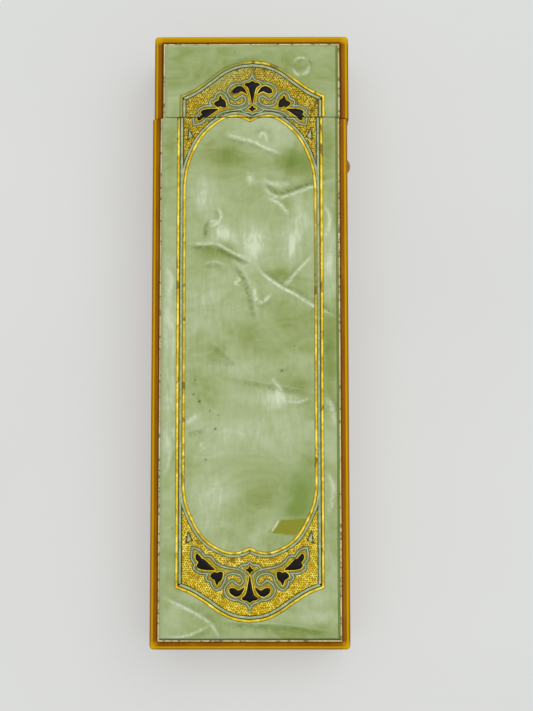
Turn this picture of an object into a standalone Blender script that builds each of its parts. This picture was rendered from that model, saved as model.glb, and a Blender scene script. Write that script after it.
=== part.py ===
"""Flat celluloid lipstick case with a pull-off lid, a side press-button catch and a slim swivel lipstick.

The case lies on its back: +X is its width, +Y runs towards the lid, +Z is the outward side of its
decorated front. The origin is the centre of the footprint of its back, and z = 0 is the back face.
"""

import math

import bmesh
import bpy
from mathutils import Vector

MM = 0.001

# Driving sizes of the whole case.
WIDTH = 25.4 * MM
LENGTH = 79.4 * MM
THICKNESS = 12.7 * MM
LID_LENGTH = 11.15 * MM
LID_SHIFT = 0.20 * MM  # the lid sits this far to the right of the body, within its play on the collar
SEAM_GAP = 0.10 * MM
CEMENT = 0.02 * MM  # gap between pieces that are cemented face to face

# The laminate of the front and back faces, from the outside in, and the walls.
PANEL_THICK = 0.45 * MM
PANEL_BEVEL_WIDE = 0.35 * MM
PANEL_BEVEL_DEEP = 0.30 * MM
PANEL_WIDE = 22.8 * MM
BACKING_THICK = 0.20 * MM
BACKING_WIDE = 23.2 * MM
LID_TRIM = 0.26 * MM  # the lid's panel and backing are this much narrower than the body's
PLATE_THICK = 1.20 * MM
RIM_ROUND = 0.75 * MM
WALL_THICK = 1.20 * MM
CORNER_ROUND = 0.50 * MM

HALF = WIDTH / 2
Y_LID_END = LENGTH / 2
Y_BODY_END = -LENGTH / 2
Y_SEAM = Y_LID_END - LID_LENGTH
BACK_PLATE_OUT = PANEL_THICK + BACKING_THICK + 2 * CEMENT
BACK_PLATE_IN = BACK_PLATE_OUT + PLATE_THICK
FRONT_PLATE_IN = THICKNESS - BACK_PLATE_IN
MID_Z = THICKNESS / 2
INNER_HALF = HALF - WALL_THICK

# Neck collar, which the lid closes over.
COLLAR_HALF = 11.2 * MM
COLLAR_Z_HALF = 4.25 * MM
COLLAR_THICK = 0.25 * MM
COLLAR_DEEP = 3.2 * MM
COLLAR_RISE = 1.5 * MM

# Lipstick: concentric tubes round the line x = 0, z = MID_Z.
SLEEVE_RADIUS = 3.90 * MM
SHEET = 0.21 * MM
RUNNING = 0.07 * MM
SLEEVE_TOP = Y_SEAM + 2.0 * MM
BASE_LENGTH = 12.4 * MM
BASE_BOTTOM = Y_BODY_END + WALL_THICK + 0.10 * MM
BASE_TOP = BASE_BOTTOM + BASE_LENGTH
SPIRAL_OUT = SLEEVE_RADIUS - SHEET - RUNNING
SLOTTED_OUT = SPIRAL_OUT - SHEET - RUNNING
CUP_OUT = SLOTTED_OUT - SHEET - RUNNING
BULLET_RADIUS = CUP_OUT - SHEET - 0.03 * MM
PITCH = 12.0 * MM  # rise of the cup in one full turn of the base
CUP_BOTTOM = 0.0
CUP_LENGTH = 12.0 * MM
LUG_Y = 1.2 * MM
LUG_RADIUS = 0.45 * MM
SPIRAL_SLOT_HALF = 0.68 * MM
STRAIGHT_SLOT_HALF = 0.55 * MM
BULLET_TIP = Y_SEAM - 3.0 * MM
BULLET_SLANT = 3.4 * MM
BORE_CLEAR = 0.10 * MM

# Press-button catch on the right wall.
BUTTON_DOWN = 5.1 * MM  # below the seam
BUTTON_RADIUS = 1.10 * MM
BUTTON_PROUD = 0.65 * MM
BUTTON_FLANGE = 1.55 * MM
SPRING_THICK = 0.20 * MM
SPRING_Z_HALF = 1.0 * MM
SPRING_LIVE_X = 10.8 * MM
SPRING_FOOT_Y = 8.0 * MM
GRIP_LOW = Y_SEAM + 0.4 * MM  # the bow of the spring that grips the plate in the lid
GRIP_HIGH = Y_SEAM + 1.2 * MM
GRIP_PLATE_THICK = 0.30 * MM
GRIP_REACH = INNER_HALF + LID_SHIFT - GRIP_PLATE_THICK - 2 * CEMENT
RIVET_HEAD_TALL = 0.18 * MM
SPRING_RIVET_Y = 10.5 * MM

SEGMENTS = 48


def material(name, colour, roughness, metallic=0.0):
    made = bpy.data.materials.new(name)
    made.use_nodes = True
    shader = made.node_tree.nodes["Principled BSDF"]
    shader.inputs["Base Color"].default_value = (*colour, 1.0)
    shader.inputs["Roughness"].default_value = roughness
    shader.inputs["Metallic"].default_value = metallic
    made.diffuse_color = (*colour, 1.0)
    return made


def empty(name, location, parent=None):
    made = bpy.data.objects.new(name, None)
    made.empty_display_size = 5 * MM
    bpy.context.scene.collection.objects.link(made)
    return placed(made, location, parent)


def world_place(obj):
    """Where an object of this script stands: only empties are parents, and none of them is turned."""
    return obj.location + (world_place(obj.parent) if obj.parent else Vector())


def placed(obj, location, parent):
    obj.parent = parent
    obj.location = Vector(location) - (world_place(parent) if parent else Vector())
    return obj


def finished(name, mesh, origin, parent, look, turn=(0.0, 0.0, 0.0)):
    """An object from a bmesh whose coordinates are already local to origin."""
    bmesh.ops.recalc_face_normals(mesh, faces=mesh.faces)
    data = bpy.data.meshes.new(name)
    mesh.to_mesh(data)
    mesh.free()
    if look:
        data.materials.append(look)
    made = bpy.data.objects.new(name, data)
    bpy.context.scene.collection.objects.link(made)
    made.rotation_euler = turn
    return placed(made, origin, parent)


def smooth(obj, angle=35.0):
    obj.data.shade_smooth()
    obj.data.set_sharp_from_angle(angle=math.radians(angle))
    return obj


def loft(loops):
    """A closed solid through loops with the same number of points; the first and last are capped."""
    mesh = bmesh.new()
    rings = [[mesh.verts.new(point) for point in loop] for loop in loops]
    for low, high in zip(rings, rings[1:]):
        for i in range(len(low)):
            j = (i + 1) % len(low)
            mesh.faces.new((low[i], low[j], high[j], high[i]))
    mesh.faces.new(rings[0][::-1])
    mesh.faces.new(rings[-1])
    return mesh


def block(low, high):
    """A box as a bmesh, from its lowest to its highest corner."""
    outline = [(low[0], low[1]), (high[0], low[1]), (high[0], high[1]), (low[0], high[1])]
    return loft([[(x, y, z) for x, y in outline] for z in (low[2], high[2])])


def turned(profile, segments=SEGMENTS):
    """A solid of revolution about local Z. profile is a closed loop of (radius, z), run anticlockwise
    with radius to the right; points of zero radius become poles."""
    mesh = bmesh.new()
    rings = []
    for radius, z in profile:
        if radius == 0:
            rings.append([mesh.verts.new((0, 0, z))] * segments)
            continue
        rings.append(
            [
                mesh.verts.new((radius * math.cos(a), radius * math.sin(a), z))
                for a in (2 * math.pi * i / segments for i in range(segments))
            ]
        )
    for low, high in zip(rings, rings[1:] + rings[:1]):
        for i in range(segments):
            j = (i + 1) % segments
            corners = list(dict.fromkeys((low[i], low[j], high[j], high[i])))
            if len(corners) > 2:
                mesh.faces.new(corners)
    return mesh


ALONG_Y = (-math.pi / 2, 0.0, 0.0)  # turns local Z to world +Y
ALONG_X = (0.0, math.pi / 2, 0.0)  # turns local Z to world +X


def cutter(name, mesh, origin=(0.0, 0.0, 0.0), turn=(0.0, 0.0, 0.0)):
    made = finished(name, mesh, origin, None, None, turn)
    made.hide_render = True
    made.display_type = "WIRE"
    return made


def combine(obj, operation, *others):
    for other in others:
        step = obj.modifiers.new(other.name, "BOOLEAN")
        step.operation = operation
        step.solver = "EXACT"
        step.object = other
    return obj


def cut(obj, *cutters):
    return combine(obj, "DIFFERENCE", *cutters)


# ---------------------------------------------------------------------------------------------
# Outlines of the face laminate, open-ended at the seam and rounded at the far corners.


def case_outline(half, y_seam, y_end, radius, shift=0.0, steps=5):
    """Outline in the XY plane of a sheet that is square at the seam and rounded at its far end."""
    away = math.copysign(1.0, y_end - y_seam)
    points = [(shift - half, y_seam)]
    if radius > 0:
        for side, start in ((-1, 0), (1, 90)):
            for i in range(steps + 1):
                a = math.radians(start + 90 * i / steps)
                across = -math.cos(a) * radius
                along = math.sin(a) * radius
                points.append((shift + side * (half - radius) + across, y_end - away * (radius - along)))
    else:
        points += [(shift - half, y_end), (shift + half, y_end)]
    points.append((shift + half, y_seam))
    return points


def at_height(outline, z):
    return [(x, y, z) for x, y in outline]


class Shell:
    """The two halves of the case share their build; this holds where each one lies."""

    def __init__(self, name, y_seam, y_end, shift, trim, parent):
        self.name = name
        self.y_seam = y_seam
        self.y_end = y_end
        self.shift = shift
        self.trim = trim
        self.parent = parent
        self.away = math.copysign(1.0, y_end - y_seam)
        self.origin = world_place(parent)

    def local(self, loops):
        return [[Vector(point) - self.origin for point in loop] for loop in loops]


def cushion_plate(shell, side, look):
    """Amber plate whose free edges roll over in a quarter round. side is +1 at the front."""
    outer_z = THICKNESS - BACK_PLATE_OUT if side > 0 else BACK_PLATE_OUT
    inner_z = outer_z - side * PLATE_THICK
    loops = []
    steps = 6
    for i in range(steps + 1):
        a = math.pi / 2 * i / steps
        inset = RIM_ROUND * (1 - math.sin(a))
        drop = RIM_ROUND * (1 - math.cos(a))
        radius = max(CORNER_ROUND - inset, 0.06 * MM)
        outline = case_outline(
            HALF - inset, shell.y_seam, shell.y_end - shell.away * inset, radius, shell.shift
        )
        loops.append(at_height(outline, outer_z - side * drop))
    loops.append([(x, y, inner_z) for x, y, z in loops[-1]])
    face = "front" if side > 0 else "back"
    made = finished(
        f"{shell.name}_{face}_plate", loft(shell.local(loops)), shell.origin, shell.parent, look
    )
    return smooth(made, 30)


def face_backing(shell, side, look):
    half = (BACKING_WIDE - shell.trim) / 2
    inset = HALF - half
    low, high = sorted(
        (z if side > 0 else THICKNESS - z)
        for z in (THICKNESS - PANEL_THICK - CEMENT, THICKNESS - PANEL_THICK - CEMENT - BACKING_THICK)
    )
    outline = case_outline(
        half, shell.y_seam, shell.y_end - shell.away * inset, 0.12 * MM, shell.shift
    )
    loops = [at_height(outline, z) for z in (low, high)]
    face = "front" if side > 0 else "back"
    return finished(
        f"{shell.name}_{face}_backing", loft(shell.local(loops)), shell.origin, shell.parent, look
    )


def face_panel(shell, side, look):
    """Pearl sheet, bevelled round its free edges and square at the seam."""
    half = (PANEL_WIDE - shell.trim) / 2
    inset = HALF - half
    loops = []
    for bevel, depth in ((PANEL_BEVEL_WIDE, 0.0), (0.0, PANEL_BEVEL_DEEP), (0.0, PANEL_THICK)):
        outline = case_outline(
            half - bevel,
            shell.y_seam,
            shell.y_end - shell.away * (inset + bevel),
            0.0,
            shell.shift,
        )
        loops.append(at_height(outline, THICKNESS - depth if side > 0 else depth))
    face = "front" if side > 0 else "back"
    return finished(
        f"{shell.name}_{face}_panel", loft(shell.local(loops)), shell.origin, shell.parent, look
    )


def walls(shell, look):
    """Left, right and end walls, between the two plates."""
    low, high = BACK_PLATE_IN + CEMENT, FRONT_PLATE_IN - CEMENT
    y_inner = shell.y_end - shell.away * WALL_THICK
    end_outline = case_outline(HALF, y_inner, shell.y_end, CORNER_ROUND, shell.shift)
    end = finished(
        f"{shell.name}_end_wall",
        loft(shell.local([at_height(end_outline, z) for z in (low, high)])),
        shell.origin,
        shell.parent,
        look,
    )
    smooth(end)
    y_low, y_high = sorted((shell.y_seam, y_inner - shell.away * CEMENT))
    made = {"end": end}
    for side, name in ((-1, "left"), (1, "right")):
        x_low, x_high = sorted((side * INNER_HALF + shell.shift, side * HALF + shell.shift))
        corners = Vector((x_low, y_low, low)), Vector((x_high, y_high, high))
        made[name] = finished(
            f"{shell.name}_{name}_wall",
            block(*(corner - shell.origin for corner in corners)),
            shell.origin,
            shell.parent,
            look,
        )
    return made


# ---------------------------------------------------------------------------------------------
# Inside the body: collar, cheeks, cradle and catch.


def neck_collar(body, brass):
    """Thin rectangular tube that stands out of the body and guides the lid."""
    y_low, y_high = Y_SEAM - COLLAR_DEEP, Y_SEAM + COLLAR_RISE
    origin = Vector((0, Y_SEAM, MID_Z))
    size = (COLLAR_HALF, COLLAR_Z_HALF)
    low = Vector((-size[0], y_low - Y_SEAM, -size[1]))
    high = Vector((size[0], y_high - Y_SEAM, size[1]))
    made = finished("neck_collar", block(low, high), origin, body, brass)
    thick = Vector((COLLAR_THICK, -1 * MM, COLLAR_THICK))
    inside = cutter("collar_bore", block(low + thick, high - thick), origin)
    window_half = SPRING_Z_HALF + 0.25 * MM
    window = cutter(
        "spring_window",
        block(
            (COLLAR_HALF - 1 * MM, 0.1 * MM, -window_half),
            (COLLAR_HALF + 1 * MM, COLLAR_RISE + 1 * MM, window_half),
        ),
        origin,
    )
    return cut(made, inside, window)


def tube_cheek(name, side, x_outer, z_half, y_low, y_high, body, look):
    """A block that fills one side of the body beside the lipstick, hollowed to its round."""
    x_inner = 2.5 * MM
    bore = SLEEVE_RADIUS + BORE_CLEAR
    reach = math.asin(math.sqrt(bore**2 - x_inner**2) / bore)
    steps = 12
    points = [(x_inner, -z_half)]
    for i in range(steps + 1):
        a = reach * (2 * i / steps - 1)
        points.append((bore * math.cos(a), bore * math.sin(a)))
    points += [(x_inner, z_half), (x_outer, z_half), (x_outer, -z_half)]
    origin = Vector((0, y_low, MID_Z))
    loops = [[(side * x, y, z) for x, z in points] for y in (0.0, y_high - y_low)]
    return finished(name, loft(loops), origin, body, look)


def catch_spring(body, brass):
    """Leaf riveted at its foot; its bowed tip grips the plate in the lid until the button draws it back."""
    half = SPRING_THICK / 2
    foot_x = INNER_HALF - CEMENT - half
    live_x = SPRING_LIVE_X
    bend_low, bend_high = 13.0 * MM, 18.0 * MM
    bow = (GRIP_HIGH - GRIP_LOW) / 3
    outline = [
        (foot_x + half, SPRING_FOOT_Y),
        (foot_x + half, bend_low),
        (live_x + half, bend_high),
        (live_x + half, GRIP_LOW),
        (GRIP_REACH, GRIP_LOW + bow),
        (GRIP_REACH, GRIP_HIGH - bow),
        (live_x + half, GRIP_HIGH),
        (live_x - half, GRIP_HIGH),
        (live_x - half, bend_high),
        (foot_x - half, bend_low),
        (foot_x - half, SPRING_FOOT_Y),
    ]
    origin = Vector((foot_x, SPRING_RIVET_Y, MID_Z))
    loops = [
        [(x - origin.x, y - origin.y, z) for x, y in outline] for z in (-SPRING_Z_HALF, SPRING_Z_HALF)
    ]
    made = finished("catch_spring", loft(loops), origin, body, brass)
    radius = 0.49 * MM
    profile = [(0, -1 * MM), (radius, -1 * MM), (radius, 1 * MM), (0, 1 * MM)]
    return cut(made, cutter("spring_rivet_hole", turned(profile, 20), origin, ALONG_X))


def spring_rivet(body, brass, right_wall):
    """Blind rivet that holds the spring's foot to the right wall."""
    shank_radius = 0.45 * MM
    head = INNER_HALF - SPRING_THICK - 2 * CEMENT
    shank_end = INNER_HALF + 0.75 * MM
    origin = Vector((head, SPRING_RIVET_Y, MID_Z))
    shank = shank_end - head
    profile = [
        (0, -RIVET_HEAD_TALL),
        (0.45 * MM, -RIVET_HEAD_TALL),
        (0.75 * MM, 0),
        (shank_radius, 0),
        (shank_radius, shank),
        (0, shank),
    ]
    smooth(finished("spring_rivet", turned(profile, 20), origin, body, brass, ALONG_X))
    radius = shank_radius + 0.04 * MM
    hole = [(0, 0), (radius, 0), (radius, shank + 0.05 * MM), (0, shank + 0.05 * MM)]
    cut(right_wall, cutter("wall_rivet_hole", turned(hole, 20), origin, ALONG_X))


def catch_button(body, amber, right_wall):
    """Domed stud in the right wall, kept in by a flange on its inner end."""
    y = Y_SEAM - BUTTON_DOWN
    origin = Vector((HALF, y, MID_Z))
    nib_end = SPRING_LIVE_X + SPRING_THICK / 2 + 0.05 * MM - HALF
    flange_high = INNER_HALF - 0.05 * MM - HALF
    flange_low = flange_high - 0.33 * MM
    profile = [(0, nib_end), (0.40 * MM, nib_end), (0.40 * MM, flange_low), (BUTTON_FLANGE, flange_low)]
    profile += [(BUTTON_FLANGE, flange_high), (BUTTON_RADIUS, flange_high)]
    sphere = (BUTTON_RADIUS**2 + BUTTON_PROUD**2) / (2 * BUTTON_PROUD)
    spread = math.asin(BUTTON_RADIUS / sphere)
    steps = 6
    for i in range(steps):
        a = spread * (1 - i / steps)
        profile.append((sphere * math.sin(a), BUTTON_PROUD - sphere * (1 - math.cos(a))))
    profile.append((0, BUTTON_PROUD))
    smooth(finished("catch_button", turned(profile, 32), origin, body, amber, ALONG_X))
    radius = BUTTON_RADIUS + 0.05 * MM
    hole = [(0, -2 * MM), (radius, -2 * MM), (radius, 1 * MM), (0, 1 * MM)]
    cut(right_wall, cutter("button_hole", turned(hole, 32), origin, ALONG_X))


def grip_plate(lid, brass):
    """Small plate on the inside of the lid's right wall, on which the spring's bow bears."""
    x_wall = INNER_HALF + LID_SHIFT - CEMENT
    half = SPRING_Z_HALF + 0.75 * MM
    low, high = (-GRIP_PLATE_THICK, 0.15 * MM, -half), (0, 2.8 * MM, half)
    return finished("grip_plate", block(low, high), Vector((x_wall, Y_SEAM, MID_Z)), lid, brass)


# ---------------------------------------------------------------------------------------------
# The lipstick, turned about its own axis. Local Z is the tube's axis and becomes world +Y.


def axis_point(y):
    return Vector((0, y, MID_Z))


def tube(name, outer, thick, y_low, y_high, parent, look):
    """Plain tube between two heights, with its origin on the axis at its lower end."""
    length = y_high - y_low
    inner = outer - thick
    profile = [(inner, 0), (outer, 0), (outer, length), (inner, length)]
    return smooth(finished(name, turned(profile), axis_point(y_low), parent, look, ALONG_Y))


def helical_cutter(name, phase):
    """Rectangular bar wound once round the axis, from the lug's rest height up."""
    r_low, r_high = SPIRAL_OUT - 2 * SHEET, SPIRAL_OUT + SHEET
    spare = math.radians(10)
    steps = 34
    mesh = bmesh.new()
    rings = []
    for i in range(steps + 1):
        turn = -spare + (2 * math.pi + 2 * spare) * i / steps
        y = LUG_Y + PITCH * turn / (2 * math.pi)
        a = phase + turn
        # Positive turns are right-handed about +Y: from +X towards -Z.
        out = Vector((math.cos(a), 0, -math.sin(a)))
        ring = []
        for radius, rise in (
            (r_low, -SPIRAL_SLOT_HALF),
            (r_high, -SPIRAL_SLOT_HALF),
            (r_high, SPIRAL_SLOT_HALF),
            (r_low, SPIRAL_SLOT_HALF),
        ):
            ring.append(mesh.verts.new(out * radius + Vector((0, y + rise, 0))))
        rings.append(ring)
    for low, high in zip(rings, rings[1:]):
        for i in range(4):
            j = (i + 1) % 4
            mesh.faces.new((low[i], low[j], high[j], high[i]))
    mesh.faces.new(rings[0][::-1])
    mesh.faces.new(rings[-1])
    return cutter(name, mesh, (0, 0, MID_Z))


def tube_sleeve(body, gilt):
    """Outer sleeve, with a rolled bead round its mouth."""
    bottom = BASE_TOP + 0.10 * MM
    length = SLEEVE_TOP - bottom
    inner = SLEEVE_RADIUS - SHEET
    profile = [
        (inner, 0),
        (SLEEVE_RADIUS, 0),
        (SLEEVE_RADIUS, length - 0.12 * MM),
        (SLEEVE_RADIUS - 0.08 * MM, length),
        (inner - 0.10 * MM, length),
        (inner - 0.10 * MM, length - 0.2 * MM),
        (inner, length - 0.3 * MM),
    ]
    made = finished("lipstick_sleeve", turned(profile), axis_point(bottom), body, gilt, ALONG_Y)
    return smooth(made)


def spiral_tube(body, brass):
    made = tube(
        "spiral_tube", SPIRAL_OUT, SHEET, BASE_TOP + 14 * MM, SLEEVE_TOP - 0.6 * MM, body, brass
    )
    return cut(made, helical_cutter("spiral_cutter_1", 0.0), helical_cutter("spiral_cutter_2", math.pi))


def slotted_tube(swivel, brass):
    """Turns with the base and carries the cup round; its two straight slots let the lugs climb."""
    made = tube(
        "slotted_tube", SLOTTED_OUT, SHEET, BASE_TOP + 0.05 * MM, SLEEVE_TOP - 0.8 * MM, swivel, brass
    )
    low = LUG_Y - 1.2 * MM
    high = LUG_Y + PITCH + 1.2 * MM
    wide = 2 * SLOTTED_OUT
    half = STRAIGHT_SLOT_HALF
    slot = cutter("straight_slot_cutter", block((-wide, low, -half), (wide, high, half)), (0, 0, MID_Z))
    return cut(made, slot)


def swivel_base(swivel, gilt):
    """Fluted grip that is turned by hand, with the plug that the slotted tube is pressed on."""
    flutes = 24
    steps = 4
    outline = []
    for i in range(flutes * steps):
        a = 2 * math.pi * i / (flutes * steps)
        radius = SLEEVE_RADIUS - 0.09 * MM * (1 - math.cos(flutes * a))
        outline.append((radius * math.cos(a), radius * math.sin(a)))
    mean = SLEEVE_RADIUS - 0.09 * MM

    def ring(scale, z):
        return [(x * scale, y * scale, z) for x, y in outline]

    def round_ring(radius, z):
        return [
            (radius * x / math.hypot(x, y), radius * y / math.hypot(x, y), z) for x, y in outline
        ]

    plug = SLOTTED_OUT - SHEET - 0.04 * MM
    loops = [
        round_ring(mean - 0.5 * MM, 0),
        ring(0.97, 0.4 * MM),
        ring(1.0, 0.8 * MM),
        ring(1.0, BASE_LENGTH - 2.2 * MM),
        round_ring(mean - 0.15 * MM, BASE_LENGTH - 1.9 * MM),
        round_ring(SLEEVE_RADIUS, BASE_LENGTH - 1.6 * MM),
        round_ring(SLEEVE_RADIUS, BASE_LENGTH),
        round_ring(plug, BASE_LENGTH),
        round_ring(plug, BASE_LENGTH + 4 * MM),
    ]
    made = finished("swivel_base", loft(loops), axis_point(BASE_BOTTOM), swivel, gilt, ALONG_Y)
    return smooth(made, 40)


def bullet_cup(bullet, gilt):
    """Cup that grips the bullet, with the two lugs that run in the slots."""
    inner = CUP_OUT - SHEET
    floor = 0.8 * MM
    profile = [(0, 0), (CUP_OUT, 0), (CUP_OUT, CUP_LENGTH), (inner, CUP_LENGTH), (inner, floor), (0, floor)]
    made = finished("bullet_cup", turned(profile), axis_point(CUP_BOTTOM), bullet, gilt, ALONG_Y)
    reach = SPIRAL_OUT - 0.03 * MM
    start = CUP_OUT - SHEET / 2
    for side, number in ((-1, 1), (1, 2)):
        lug_profile = [(0, start), (LUG_RADIUS, start), (LUG_RADIUS, reach), (0, reach)]
        turn = (0.0, side * math.pi / 2, 0.0)
        lug = cutter(f"lug_{number}", turned(lug_profile, 16), axis_point(LUG_Y), turn)
        combine(made, "UNION", lug)
    return smooth(made)


def bullet_stick(bullet, wax):
    """Stick of lipstick with a slanted tip."""
    low = CUP_BOTTOM + 0.85 * MM
    length = BULLET_TIP - low
    rings = []
    for scale, drop in ((1.0, 0.30), (0.93, 0.10), (0.80, 0.0)):
        rings.append((BULLET_RADIUS * scale, drop * MM))
    angles = [2 * math.pi * i / SEGMENTS for i in range(SEGMENTS)]
    loops = [[(BULLET_RADIUS * math.cos(a), BULLET_RADIUS * math.sin(a), 0) for a in angles]]
    for radius, drop in rings:
        loop = []
        for a in angles:
            x, y = radius * math.cos(a), radius * math.sin(a)
            slope = BULLET_SLANT * (1 + y / BULLET_RADIUS) / 2
            loop.append((x, y, length - slope - drop))
        loops.append(loop)
    made = finished("lipstick_bullet", loft(loops), axis_point(low), bullet, wax, ALONG_Y)
    return smooth(made)


# ---------------------------------------------------------------------------------------------


def build():
    for obj in list(bpy.data.objects):
        bpy.data.objects.remove(obj, do_unlink=True)

    amber = material("amber_celluloid", (0.34, 0.13, 0.004), 0.22)
    cream = material("cream_celluloid", (0.62, 0.46, 0.22), 0.45)
    pearl = material("green_pearl_celluloid", (0.34, 0.41, 0.20), 0.25)
    brass = material("spring_brass", (0.72, 0.52, 0.22), 0.35, 1.0)
    gilt = material("gilt_brass", (0.86, 0.62, 0.22), 0.22, 1.0)
    wood = material("boxwood", (0.52, 0.36, 0.18), 0.6)
    wax = material("lipstick_wax", (0.42, 0.015, 0.03), 0.35)

    case = empty("case", (0, 0, 0))
    lid_slide = empty("lid_slide", axis_point(Y_SEAM), case)
    swivel = empty("swivel", axis_point(BASE_BOTTOM), case)
    riser = empty("riser", axis_point(CUP_BOTTOM), swivel)

    body_shell = Shell("body", Y_SEAM - SEAM_GAP / 2, Y_BODY_END, 0.0, 0.0, case)
    lid_shell = Shell("lid", Y_SEAM + SEAM_GAP / 2, Y_LID_END, LID_SHIFT, LID_TRIM, lid_slide)
    for shell in (body_shell, lid_shell):
        for side in (1, -1):
            cushion_plate(shell, side, amber)
            face_backing(shell, side, cream)
            face_panel(shell, side, pearl)
    right_wall = walls(body_shell, amber)["right"]
    walls(lid_shell, amber)

    neck_collar(case, gilt)
    mouth_low = Y_SEAM + COLLAR_RISE - 0.6 * MM
    mouth_high = mouth_low + 0.3 * MM
    cheek_half = COLLAR_Z_HALF - COLLAR_THICK - 0.04 * MM
    left_reach = COLLAR_HALF - COLLAR_THICK - 0.04 * MM
    right_reach = SPRING_LIVE_X - 0.5 * MM
    tube_cheek("mouth_plate_left", -1, left_reach, cheek_half, mouth_low, mouth_high, case, gilt)
    tube_cheek("mouth_plate_right", 1, right_reach, cheek_half, mouth_low, mouth_high, case, gilt)
    cradle_low = Y_BODY_END + WALL_THICK + CEMENT
    cradle_high = Y_SEAM - COLLAR_DEEP - 0.3 * MM
    cradle_half = (FRONT_PLATE_IN - BACK_PLATE_IN) / 2 - CEMENT
    cradle_left = INNER_HALF - CEMENT
    tube_cheek("cradle_left", -1, cradle_left, cradle_half, cradle_low, cradle_high, case, wood)
    tube_cheek("cradle_right", 1, right_reach, cradle_half, cradle_low, cradle_high, case, wood)
    catch_spring(case, brass)
    spring_rivet(case, brass, right_wall)
    catch_button(case, amber, right_wall)
    grip_plate(lid_slide, brass)

    tube_sleeve(case, gilt)
    spiral_tube(case, brass)
    slotted_tube(swivel, brass)
    swivel_base(swivel, gilt)
    bullet_cup(riser, gilt)
    bullet_stick(riser, wax)


build()
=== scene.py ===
"""Lipstick case: looks, stamped ornament, floor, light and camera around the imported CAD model.

Lengths in the ornament and the panels are in millimetres, in the CAD frame: +X to the button, +Y to the lid,
+Z out of the decorated front. Everything else is in metres.
"""

import math

import bmesh
import bpy
import numpy as np
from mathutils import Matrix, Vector
from mathutils.geometry import delaunay_2d_cdt


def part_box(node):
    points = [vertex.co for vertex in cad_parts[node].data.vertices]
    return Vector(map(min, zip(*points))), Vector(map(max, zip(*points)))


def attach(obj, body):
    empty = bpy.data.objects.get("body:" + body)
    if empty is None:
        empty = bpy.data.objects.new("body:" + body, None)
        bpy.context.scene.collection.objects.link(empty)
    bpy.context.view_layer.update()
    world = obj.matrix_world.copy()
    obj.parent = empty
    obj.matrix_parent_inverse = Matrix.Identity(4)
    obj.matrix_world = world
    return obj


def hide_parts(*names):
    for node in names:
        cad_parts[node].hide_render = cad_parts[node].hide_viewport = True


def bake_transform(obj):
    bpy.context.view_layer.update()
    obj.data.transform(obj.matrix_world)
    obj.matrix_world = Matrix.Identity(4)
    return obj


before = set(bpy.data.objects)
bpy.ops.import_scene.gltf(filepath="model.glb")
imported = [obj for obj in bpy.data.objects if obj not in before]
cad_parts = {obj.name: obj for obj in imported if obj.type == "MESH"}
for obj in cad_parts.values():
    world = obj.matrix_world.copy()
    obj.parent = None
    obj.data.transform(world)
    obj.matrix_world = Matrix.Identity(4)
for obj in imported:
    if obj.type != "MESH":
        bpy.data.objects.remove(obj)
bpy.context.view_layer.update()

MM = 0.001

# The stamp and the pearl sheet that it lies on, in mm.
SIDE_X = 9.25  # outer gold line, along both sides
WINDOW_X = 8.45  # inner gold line
LID_STAMP_SHIFT = 0.30  # the lid's part of the stamp stands this far to the right of the body's
SINK = 0.06  # how far the ornament's pieces reach down into the panel
BEVEL_WIDE = 0.35
BEVEL_DEEP = 0.30
SHARP_ANGLE = math.radians(25)  # edges sharper than this are split, so that the bevel stays crisp
CREASE_DEEP = 0.03
DENT_DEEP = 0.05
PANEL_STEP = 0.16
FILL_STEP = 0.1
FIELD_STEP = 0.065
PEBBLE_PITCH = 0.29
WINDOW_FOOT = 19.5  # where the window's sides turn into its ends

# The catch spring bends between its fixed and its free place; its leaf is sliced across between them. In mm along
# the case.
SPRING_FIXED = 13.0
SPRING_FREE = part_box("catch_button")[0].y / MM
SPRING_SLICE = 0.4

# The CAD's own places, in mm.
BORDER_SPAN = 1.3  # width of the amber border that shows, and a little more
HALF_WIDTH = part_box("body_front_plate")[1].x / MM
HALF_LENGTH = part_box("lid_front_plate")[1].y / MM
LID_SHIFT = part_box("lid_front_plate")[1].x / MM - HALF_WIDTH
FRONT_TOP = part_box("body_front_panel")[1].z / MM
BODY_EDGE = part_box("body_front_panel")[1].y / MM
LID_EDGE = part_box("lid_front_panel")[0].y / MM


# ---------------------------------------------------------------- colours and node trees

def srgb(red, green, blue):
    """Linear colour of an 8-bit sRGB one."""
    channels = np.array([red, green, blue]) / 255
    linear = np.where(channels <= 0.04045, channels / 12.92, ((channels + 0.055) / 1.055) ** 2.4)
    return (*linear.tolist(), 1.0)


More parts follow.
